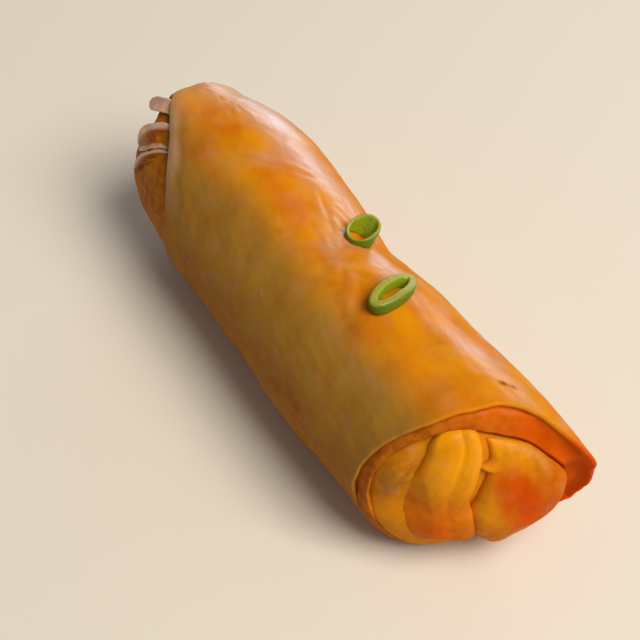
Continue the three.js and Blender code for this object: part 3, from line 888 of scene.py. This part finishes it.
def wrapper_tones(roll, points, kind, station, angle):
    """All tones at each point of the wrapper. The hood is the part of the near lip that overhangs."""
    off, near = from_top(angle), station > 0
    lip, gap, face = kind == "lip", kind == "gap", kind == "face"
    under = np.isin(kind, ["under", "edge", "gap"])
    outer = ~(under | face)
    hood = ramp(off, *HOOD)
    pouch = pouch_share(points[:, 1], points[:, 2])
    film = patches(station - roll.lip(FAR_END, angle), angle, FAR_FILM)
    toast_and_shade, shaded, film_and_sheen, red, yellow = last_turn_tones(roll, points, film, station, angle)
    # Darker in the gap behind the far lip: painted shade. The far under-turn is browner: fried darker, and
    # painted shade beneath the lip.
    toast_and_shade = choose(toast_and_shade, [
        (lip | (gap & near), 0.2 - 0.2 * hood),
        (gap, 0.55),
        (under & near, np.where(kind == "edge", 0.5, 0.62 - 0.3 * hood + 0.2 * ramp(off, 0, 30))),
        (under, 0.72),
        (face, 0.35 + 0.35 * pouch),
    ])
    # The brown on the side away from the key light is painted shade. The far lip's dry film adds its own
    # brown, and the pouch's middle is browner.
    dull_and_shade = choose(0.3 * shaded, [
        (outer, 0.95 * shaded + 0.35 * film),
        (under & ~near, 0.15),
        (face & near, 0.8 * pouch),
    ])
    # Painted highlights: small lighter spots where light catches the pouch.
    painted_highlights = spots(points[:, 1], points[:, 2], POUCH_HIGHLIGHTS)
    film_and_sheen = choose(0.0, [(outer, film_and_sheen), (face & near, painted_highlights)])
    # Under the overhanging near lip the under-turn is redder and darker: its own red, and painted shade
    # beneath the overhang.
    red = choose(red, [
        (under & near, 0.15 + 0.3 * ramp(off, 25, -30) + 0.4 * ramp(off, -5, -35)),
        (lip & near, 0.7 * hood),
    ])
    red += outer * 0.6 * hood * bell((roll.lip(NEAR_END, angle) - station) / HOOD_REDNESS)
    yellow = choose(yellow, [(under & ~near, 0.2), (face & near, 0.5)])
    crumb = strokes(roll, station, angle, CRUMB)
    return toast_and_shade, dull_and_shade, film_and_sheen * (1 - crumb), red, yellow, crumb


# ---- pieces ----------------------------------------------------------------------------------------


def build_wrapper(roll):
    """The wound sheet, ring by ring: its far end, the last turn and its near end."""
    far, near = roll.end_rings(FAR_END), roll.end_rings(NEAR_END)
    far_lip, near_lip = roll.lip(FAR_END, ANGLES), roll.lip(NEAR_END, ANGLES)
    body = []
    for i in range(BODY_RINGS):
        t = i / (BODY_RINGS - 1)
        station = mix(far_lip, near_lip, mix(t, ease(t), CLOSER_AT_ENDS))
        body.append(("last", roll.point(station, roll.last_turn(station, ANGLES), ANGLES)))
    rings = far[::-1] + body + near
    second_cuts = len(rings) // (FIRST_CUTS + 1) - 1
    missing = (FIRST_CUTS + 1) * (second_cuts + 1) + 1 - len(rings)
    if missing:
        raise RuntimeError("the wrapper has %d rings too few" % missing)
    obj, ring, place, pole = closed_tube("spring_roll_wrapper", SEGMENTS, FIRST_CUTS, second_cuts)

    points = np.array([on_ring for _, on_ring in rings])[ring, place]
    points[pole & (ring == 0)] = roll.face_point(FAR_END, np.array(0.0), 0, 0)
    points[pole & (ring > 0)] = roll.face_point(NEAR_END, np.array(0.0), 0, 0)
    kind = np.array([name for name, _ in rings])[ring]
    station, angle = points[:, 0], ANGLES[place]
    outer = np.isin(kind, ["last", "lip"])

    relief = wrapper_relief(roll, points, station, angle)
    relief = relief * ramp(np.abs(apart(angle, 180)), *FREE_OF_FLOOR)
    relief = np.where(outer, relief, end_relief(points, kind, station, angle))
    move_points(obj, points)
    turn = np.radians(angle)
    outwards = np.stack([np.zeros_like(turn), -np.sin(turn), np.cos(turn)], 1)
    raised = points + np.where(outer[:, None], outwards, normals(obj)) * relief[:, None]
    raised[:, 2] = np.maximum(raised[:, 2], roll.cut - roll.radius)
    move_points(obj, raised)
    paint_dough(obj, *wrapper_tones(roll, raised, kind, station, angle))
    return obj


def rise(distance, width):
    """From 0 at a border to 1: a round edge where the width is small, a gentle slope where it is large."""
    share = np.clip(distance / width, 0, 1)
    return mix(np.sqrt(1 - np.square(1 - share)), ease(share), ramp(width, ROUND_HEM, SLOPING_HEM))


def build_fold(roll, name, fold):
    """A tucked corner: a sheet over the end face, with some borders raised and others drawn in."""
    obj, x, y = new_grid(name, *FOLD_GRID)
    u, v = (x + 1) / 2, (1 - y) / 2  # from the left edge, and from the top down
    left, right = read_edge(fold["left"], v), read_edge(fold["right"], v)
    wide = np.linalg.norm(right - left, axis=1)
    long_ = abs(fold["left"][0][1] - fold["left"][-1][1])
    tab_z, tab_reach, tab_spread = fold.get("tab", NO_TAB)
    tab = tab_reach * hump(left[:, 1], tab_z, tab_spread)
    flat = mix(left, right, u[:, None])
    flat[:, 0] -= tab * bell(u / TAB_ROOT)

    from_left = u * wide + tab * (1 - bell(u / TAB_ROOT))
    distances = (from_left, (1 - u) * wide, v * long_, (1 - v) * long_)
    edge = 1.0
    for distance, (high, low) in zip(distances, fold["hems"]):
        edge = edge * rise(distance, mix(high, low, ramp(v, *HEM_CHANGE)))
    height = mix(*fold["height"], v) + fold["crown"] * np.sin(np.pi * u) * np.sin(np.pi * v)
    bent = u + layered(np.stack([v * 5, u, u], 1), RIDGE_WANDER)
    for across, start, end, tall, spread in fold["ridges"]:
        lasting = ramp(v, start, RIDGE_END) * ramp(v, end, -RIDGE_END)
        height = height + tall * hump(bent, across, spread) * lasting
    height = mix(DRAWN_IN, height, edge)

    angle = np.degrees(np.arctan2(-flat[:, 0], flat[:, 1]))
    share = np.hypot(flat[:, 0], flat[:, 1]) / roll.face_rim(fold["end"], angle)[1]
    over = np.maximum(share - RIM_EASE, 0) / (1 - RIM_EASE)
    share = np.minimum(share, RIM_EASE) + (1 - RIM_EASE) * (1 - np.exp(-over))
    points = roll.face_point(fold["end"], angle, share, height)
    move_points(obj, points)
    if fold["end"]["side"] < 0:
        bpy.ops.object.mode_set(mode="EDIT")
        bpy.ops.mesh.select_all(action="SELECT")
        bpy.ops.mesh.flip_normals()
        bpy.ops.object.mode_set(mode="OBJECT")
    creases = layered(np.stack([u * wide, v * long_ * CREASE_STRETCH, 0 * u], 1), FOLD_CREASES)
    creases += layered(points, FOLD_GRAIN)
    move_points(obj, points + normals(obj) * (creases * edge)[:, None])
    thicken(obj, roll.layer)
    paint_dough(obj, *fold_tones(placed_points(obj), name))
    return obj


def fold_tones(points, name):
    """All tones at each point of a tucked corner."""
    y, z = points[:, 1], points[:, 2]
    toast_and_shade = 0.08 + 0.14 * noise(points, 5, seed=71)
    film_and_sheen = 0.05 * noise(points, 3, seed=72)
    red = 0.0
    yellow = 0.7 + 0.25 * noise(points, 7, seed=73)
    if name == "near_tongue":
        # Darker towards the left side, and darker and redder towards the bottom: painted shade.
        toast_and_shade += 0.1 * ramp(y, -6, -7) + 0.36 * ramp(z, 9, -9)
        red = 0.35 * ramp(z, 8, -9) + spots(y, z, TONGUE_RED)
        yellow += spots(y, z, TONGUE_YELLOW)
    elif name == "near_lobe":
        # Darker and redder towards the bottom and the right side. The yellow band near the top and the
        # lighter tab are painted highlights.
        patch = spots(y + 1.6 * noise(points, 5, seed=74), z, LOBE_RED)
        tab = spots(y, z, LOBE_TAB_HIGHLIGHT)
        toast_and_shade += 0.1 + 0.5 * patch + 0.2 * ramp(z, -2, -8) + 0.35 * ramp(y, 5, 7) - 0.3 * tab
        red = patch + 0.3 * ramp(y, 9, 5) + 0.3 * ramp(z, 1, -6)
        yellow += 0.4 * hump(z, 13, 3.5) - 0.8 * patch - 0.5 * ramp(y, 8, 4) + 0.5 * tab
    else:
        toast_and_shade += 0.45
        yellow -= 0.3
    return toast_and_shade, 0, film_and_sheen, red, yellow, 0


def bent_line(roll, line, t):
    """Points of a bent line through three places, each a station, an angle and a radius."""
    root, middle, tip = (np.array(place, float) for place in line)
    t = t[:, None]
    at = root * (1 - t) * (1 - 2 * t) + 4 * middle * t * (1 - t) + tip * t * (2 * t - 1)
    return roll.point(at[:, 0], at[:, 2], at[:, 1])


def build_flake(roll, name, upper, lower, curl, thickness, film, hollow, burnt, bare):
    """A strip of loose dough between two rims, with its middle curled inwards and a round tip."""
    obj, u, y = new_grid(name, *FLAKE_GRID)
    t = (y + 1) / 2  # from root to tip
    high, low = bent_line(roll, upper, t), bent_line(roll, lower, t)
    middle, side = (high + low) / 2, high - low
    wide = np.linalg.norm(side, axis=1)
    side /= wide[:, None]
    inwards = -middle * (0, 1, 1)
    inwards -= side * (inwards * side).sum(1)[:, None]
    inwards /= np.linalg.norm(inwards, axis=1)[:, None]
    wide *= 1 + layered(np.stack([t * 7, u * 0.3, 0 * t], 1), FLAKE_WIDTH_NOISE)
    half = np.radians(mix(*curl, t)) / 2
    radius = wide / (2 * np.sin(half))
    tip_from, tip_over, tip_most = ROUND_TIP
    bend = u * half * np.sqrt(1 - np.square(np.clip((t - tip_from) / tip_over, 0, tip_most)))
    deep = radius * (np.cos(bend) - np.cos(half))
    points = middle + inwards * deep[:, None] + side * (radius * np.sin(bend))[:, None]
    points += layered(points, FLAKE_NOISE)[:, None] * inwards
    move_points(obj, points)
    thicken(obj, thickness)

    u, t = np.tile(u, 2), np.tile(t, 2)  # the wall's points come after the sheet's own
    # Paler film on the rims is partly painted highlight. Less film and the crumb colour in the hollow are
    # painted shade.
    film = film * mix(mix(*hollow, ramp(t, 0.5, 0.3)), 1, ramp(np.abs(u), 0.4, 0.35))
    if bare:
        film = film * ramp(u, -0.5, 0.9)
    soft = noise(placed_points(obj), 3, seed=83)
    paint_dough(obj, 0.9 * (1 - film) + 0.15 * soft, 0.1, film + 0.12 * soft, 0, 0, burnt * (1 - film))
    return obj


def build_onion(roll, name, station, angle, heading, long_side, short_side, tall, wall, slant, taller):
    """A slice of hollow leaf that lies on the roll and follows its round."""
    deselect()
    around, section = ONION_GRID
    bpy.ops.mesh.primitive_torus_add(
        major_segments=around, minor_segments=section, major_radius=1, minor_radius=0.25
    )
    obj = name_it(name + "_slice")
    x, y, z = coordinates(obj).T
    turn, slope = np.arctan2(y, x), np.arctan2(z, np.hypot(x, y) - 1)
    c, s = np.cos(slope), np.sin(slope)
    box_c, box_s = (np.sign(way) * np.abs(way) ** power for way, power in zip((c, s), WALL_CORNERS))
    ring = np.stack([np.cos(turn) * 3, np.sin(turn) * 3, s], 1)
    out = wall / 2 * (box_c - 1) + layered(ring, LEAF_NOISE)
    a, b = (long_side / 2 + out) * np.cos(turn), (short_side / 2 + out) * np.sin(turn)
    turned = math.radians(heading)
    along = a * math.cos(turned) - b * math.sin(turned)
    across = a * math.sin(turned) + b * math.cos(turned)
    tall = tall * (1 + slant * np.cos(np.arctan2(across, along) - math.radians(taller)))
    depth, groove_at, spread = CUT_GROOVE
    groove = depth * hump(box_c, groove_at, spread) * (np.abs(s) > 0.5) * np.sign(s)
    uneven = layered(ring, CUT_NOISE) * (s > 0)
    height = ONION_FOOT + tall / 2 * (1 + box_s) - groove + uneven
    at = angle - np.degrees(across / roll.radius)
    r = roll.last_turn(station + along, at) + height
    move_points(obj, roll.point(station + along, r, at))
    outside = ramp(box_c, 0.15, 0.7) * (1 - 0.6 * ramp(box_s, 0.75, 0.25))
    paint(obj, "leaf", outside, ramp(box_c, -0.45, -0.5))
    return obj


# ---- materials -------------------------------------------------------------------------------------


class Nodes:
    """A material's nodes, made one after another from left to right."""

    def __init__(self, name):
        self.material = bpy.data.materials.new(name)
        self.material.use_nodes = True
        self.tree = self.material.node_tree
        self.tree.nodes.clear()
        self.column = 0

    def add(self, kind, sockets=None, **settings):
        """Adds a node with its settings, and a number, colour or link for each socket that is named."""
        node = self.tree.nodes.new(kind)
        node.location = (self.column, 0)
        self.column += 220
        for key, value in settings.items():
            setattr(node, key, value)
        for key, value in (sockets or {}).items():
            socket = node.inputs[key]
            if isinstance(value, bpy.types.NodeSocket):
                self.tree.links.new(value, socket)
            else:
                socket.default_value = (*value, 1) if socket.type == "RGBA" else value
        return node

    def place(self):
        """The point of the piece that is shaded."""
        return self.add("ShaderNodeTexCoord").outputs["Object"]

    def tones(self, attribute):
        """The three tones that an attribute holds."""
        read = self.add("ShaderNodeAttribute", attribute_type="GEOMETRY", attribute_name=attribute)
        return self.add("ShaderNodeSeparateColor", {"Color": read.outputs["Color"]}).outputs[:3]

    def blend(self, share, a, b):
        """Mixes two colours by a share. The node's colours are sockets 6 and 7, and its result output 2."""
        sockets = {0: share, 6: a, 7: b}
        return self.add("ShaderNodeMix", sockets, data_type="RGBA", clamp_factor=True).outputs[2]

    def calculate(self, operation, a, b, clamp=False):
        """One step of arithmetic."""
        return self.add("ShaderNodeMath", {0: a, 1: b}, operation=operation, use_clamp=clamp).outputs[0]

    def times(self, a, b, clamp=False):
        """One number times another."""
        return self.calculate("MULTIPLY", a, b, clamp)

    def line(self, start, slope, value):
        """Start plus slope times value."""
        return self.calculate("ADD", start, self.times(value, slope))

    def mottle(self, place, size, detail=3.0, roughness=0.5):
        """Noise with features of a size in metres."""
        sockets = {"Vector": place, "Scale": 1 / size, "Detail": detail, "Roughness": roughness}
        return self.add("ShaderNodeTexNoise", sockets).outputs["Fac"]

    def ramp(self, value, low, high):
        """Stretches a value from between two limits to 0 to 1."""
        sockets = {"Value": value, "From Min": low, "From Max": high}
        return self.add("ShaderNodeMapRange", sockets, interpolation_type="SMOOTHSTEP").outputs["Result"]

    def bump(self, height, strength, distance):
        """Fine relief, with its depth in metres."""
        sockets = {"Height": height, "Strength": strength, "Distance": distance}
        return self.add("ShaderNodeBump", sockets).outputs["Normal"]

    def surface(self, sockets):
        """Ends the material in one shader, and returns it."""
        shader = self.add("ShaderNodeBsdfPrincipled", sockets)
        self.add("ShaderNodeOutputMaterial", {"Surface": shader.outputs["BSDF"]})
        return self.material


def fried_dough(colours):
    """Golden fried dough: mottled orange, browned places and painted shade, a dry film with painted sheen and
    highlights, and a thin coat of oil.
    """
    nodes = Nodes("fried_dough")
    place = nodes.place()
    toast_and_shade, dull_and_shade, film_and_sheen = nodes.tones("tone")
    red, yellow, crumb = nodes.tones("stain")
    broad = nodes.ramp(nodes.mottle(place, DOUGH_MOTTLE, 2.0), 0.35, 0.65)
    fine = nodes.ramp(nodes.mottle(place, DOUGH_SPECKLE, 4.0, 0.6), 0.3, 0.7)
    # The film share carries dry film and painted sheen, and makes those places glossier.
    film = nodes.times(film_and_sheen, nodes.line(0.7, 0.5, broad), clamp=True)
    base = nodes.blend(broad, colours.golden, colours.deep)
    for share, over in (
        (yellow, colours.yellow),
        (dull_and_shade, colours.dull_and_shade),
        (nodes.times(toast_and_shade, nodes.line(0.65, 0.7, fine), clamp=True), colours.toast_and_shade),
        (red, colours.red),
        (film, colours.film_and_sheen),
        (crumb, colours.crumb),
    ):
        base = nodes.blend(share, base, over)
    clean = nodes.calculate("SUBTRACT", 1.0, nodes.line(crumb, 0.6, red), clamp=True)
    pores = nodes.mottle(place, DOUGH_PORES, 3.0, 0.55)
    grain = nodes.line(pores, 0.25, nodes.mottle(place, DOUGH_FINE_PORES, 2.0))
    return nodes.surface({
        "Base Color": base,
        "Roughness": nodes.line(0.34, 0.12, fine),
        "Specular IOR Level": nodes.times(nodes.times(film, 0.6), clean),
        "Subsurface Weight": 0.12,
        "Subsurface Radius": (1.0, 0.35, 0.1),
        "Subsurface Scale": 0.002,
        "Coat Weight": nodes.times(nodes.line(0.16, 0.45, film), clean),
        "Coat Roughness": 0.3,
        "Normal": nodes.bump(grain, 0.35, DOUGH_PORE_DEPTH),
    })


def onion_leaf(colours):
    """Green onion: dark skin, pale cut face, bright inside, moist."""
    nodes = Nodes("onion_leaf")
    skin, inside, _ = nodes.tones("leaf")
    fibre = nodes.ramp(nodes.mottle(nodes.place(), ONION_FIBRE), 0.3, 0.7)
    flesh = nodes.blend(nodes.times(fibre, 0.45), colours.flesh, colours.inside)
    base = nodes.blend(skin, nodes.blend(inside, flesh, colours.inside), colours.skin)
    return nodes.surface({
        "Base Color": base,
        "Roughness": nodes.line(0.3, 0.15, fibre),
        "Subsurface Weight": 0.15,
        "Subsurface Radius": (0.4, 1.0, 0.2),
        "Subsurface Scale": 0.001,
        "Normal": nodes.bump(fibre, 0.3, ONION_FIBRE_DEPTH),
    })


def floor_paint(studio):
    """Plain matt paint with hardly any cloud in it."""
    nodes = Nodes("floor_paint")
    cloud = nodes.mottle(nodes.place(), FLOOR_CLOUD, 2.0)
    base = nodes.blend(nodes.times(cloud, 0.04), studio.floor, FLOOR_CLOUD_TINT)
    return nodes.surface({"Base Color": base, "Roughness": 0.8, "Specular IOR Level": 0.2})


def dough_of(scene):
    """The dough material, made once and shared by all that is dough."""
    return bpy.data.materials.get("fried_dough") or fried_dough(scene.dough_colours)


# ---- stage -----------------------------------------------------------------------------------------


def add_floor(studio):
    """A plain floor, which isn't part of the roll."""
    deselect()
    bpy.ops.mesh.primitive_plane_add(size=FLOOR_WIDTH)
    floor = name_it("floor")
    floor.data.materials.append(floor_paint(studio))


def add_light(name, power, direction, distance, size, tint):
    """A soft light, so wide and so high, that faces the middle of the roll."""
    way = Vector(direction).normalized()
    at = Vector(LIT_POINT) + way * distance
    bpy.ops.object.light_add(type="AREA", location=at, rotation=way.to_track_quat("Z", "Y").to_euler())
    lamp = bpy.context.object
    lamp.name = name
    lamp.visible_camera = False
    lamp.data.shape = "RECTANGLE"
    lamp.data.size, lamp.data.size_y = size
    lamp.data.energy = power
    lamp.data.color = tint


def light_sky(scene):
    """A little even light from all round."""
    world = scene.world or bpy.data.worlds.new("studio")
    scene.world = world
    world.use_nodes = True
    nodes = world.node_tree.nodes
    sky = nodes.get("Background") or nodes.new("ShaderNodeBackground")
    sky.inputs["Color"].default_value = SKY_TINT
    sky.inputs["Strength"].default_value = scene.studio.sky


def add_camera(scene):
    """The camera, which looks down on the roll from beyond its near end."""
    way = Vector(LOOK_AT) - Vector(CAMERA_AT)
    bpy.ops.object.camera_add(location=CAMERA_AT, rotation=way.to_track_quat("-Z", "Y").to_euler())
    camera = bpy.context.object
    camera.data.sensor_width = SENSOR_WIDTH
    camera.data.lens = scene.studio.lens
    scene.camera = camera


# ---- operators -------------------------------------------------------------------------------------


class ROLL_OT_wrapper(bpy.types.Operator):
    """Build the wound wrapper with its lips, under-turns and end faces"""

    bl_idname = "roll.wrapper"
    bl_label = "Wrapper"

    def execute(self, context):
        obj = build_wrapper(Roll(context.scene.roll_sizes))
        finish_piece(obj, dough_of(context.scene), "spring_roll")
        return {"FINISHED"}


class ROLL_OT_folds(bpy.types.Operator):
    """Build the corners of the sheet that are tucked over both ends"""

    bl_idname = "roll.folds"
    bl_label = "Tucked corners"

    def execute(self, context):
        roll = Roll(context.scene.roll_sizes)
        for name, fold in FOLDS.items():
            obj = build_fold(roll, name, fold)
            finish_piece(obj, dough_of(context.scene), "spring_roll")
        return {"FINISHED"}


class ROLL_OT_flakes(bpy.types.Operator):
    """Build the loose dough that comes out from under the far lip"""

    bl_idname = "roll.flakes"
    bl_label = "Loose dough"

    def execute(self, context):
        roll = Roll(context.scene.roll_sizes)
        for name, flake in FLAKES.items():
            obj = build_flake(roll, name, **flake)
            finish_piece(obj, dough_of(context.scene), "spring_roll")
        return {"FINISHED"}


class ROLL_OT_onion(bpy.types.Operator):
    """Build the slices of green onion on the roll"""

    bl_idname = "roll.onion"
    bl_label = "Green onion"

    def execute(self, context):
        roll = Roll(context.scene.roll_sizes)
        leaf = onion_leaf(context.scene.onion_colours)
        for node, slice_ in ONION_SLICES.items():
            obj = build_onion(roll, node, **slice_)
            finish_piece(obj, leaf, node)
        return {"FINISHED"}


class ROLL_OT_stage(bpy.types.Operator):
    """Set the floor, the lights and the camera"""

    bl_idname = "roll.stage"
    bl_label = "Stage"

    def execute(self, context):
        scene = context.scene
        add_floor(scene.studio)
        add_light("key", scene.studio.key, **LIGHTS["key"])
        add_light("window", scene.studio.window, **LIGHTS["window"])
        light_sky(scene)
        add_camera(scene)
        scene.view_settings.view_transform = "Standard"
        return {"FINISHED"}


class ROLL_PT_panel(bpy.types.Panel):
    """Sizes, colours and build steps of the spring roll"""

    bl_label = "Spring Roll"
    bl_idname = "ROLL_PT_panel"
    bl_space_type = "VIEW_3D"
    bl_region_type = "UI"
    bl_category = "Spring Roll"

    def draw(self, context):
        for name in GROUPS:
            group = getattr(context.scene, name)
            box = self.layout.box()
            for key in group.__annotations__:
                box.prop(group, key)
        for step in STEPS:
            self.layout.operator(step.bl_idname)


GROUPS = {
    "roll_sizes": RollSizes,
    "dough_colours": DoughColours,
    "onion_colours": OnionColours,
    "studio": StudioSettings,
}
STEPS = (ROLL_OT_wrapper, ROLL_OT_folds, ROLL_OT_flakes, ROLL_OT_onion, ROLL_OT_stage)
CLASSES = (*GROUPS.values(), *STEPS, ROLL_PT_panel)


def register():
    """Registers the classes and gives the scene its settings."""
    for cls in CLASSES:
        bpy.utils.register_class(cls)
    for key, group in GROUPS.items():
        setattr(bpy.types.Scene, key, PointerProperty(type=group))


def unregister():
    """Takes the settings and the classes away again."""
    for key in GROUPS:
        delattr(bpy.types.Scene, key)
    for cls in reversed(CLASSES):
        bpy.utils.unregister_class(cls)


def main():
    """Builds the roll on its stage."""
    register()
    bpy.ops.roll.wrapper()
    bpy.ops.roll.folds()
    bpy.ops.roll.flakes()
    bpy.ops.roll.onion()
    bpy.ops.roll.stage()


if __name__ == "__main__":
    main()
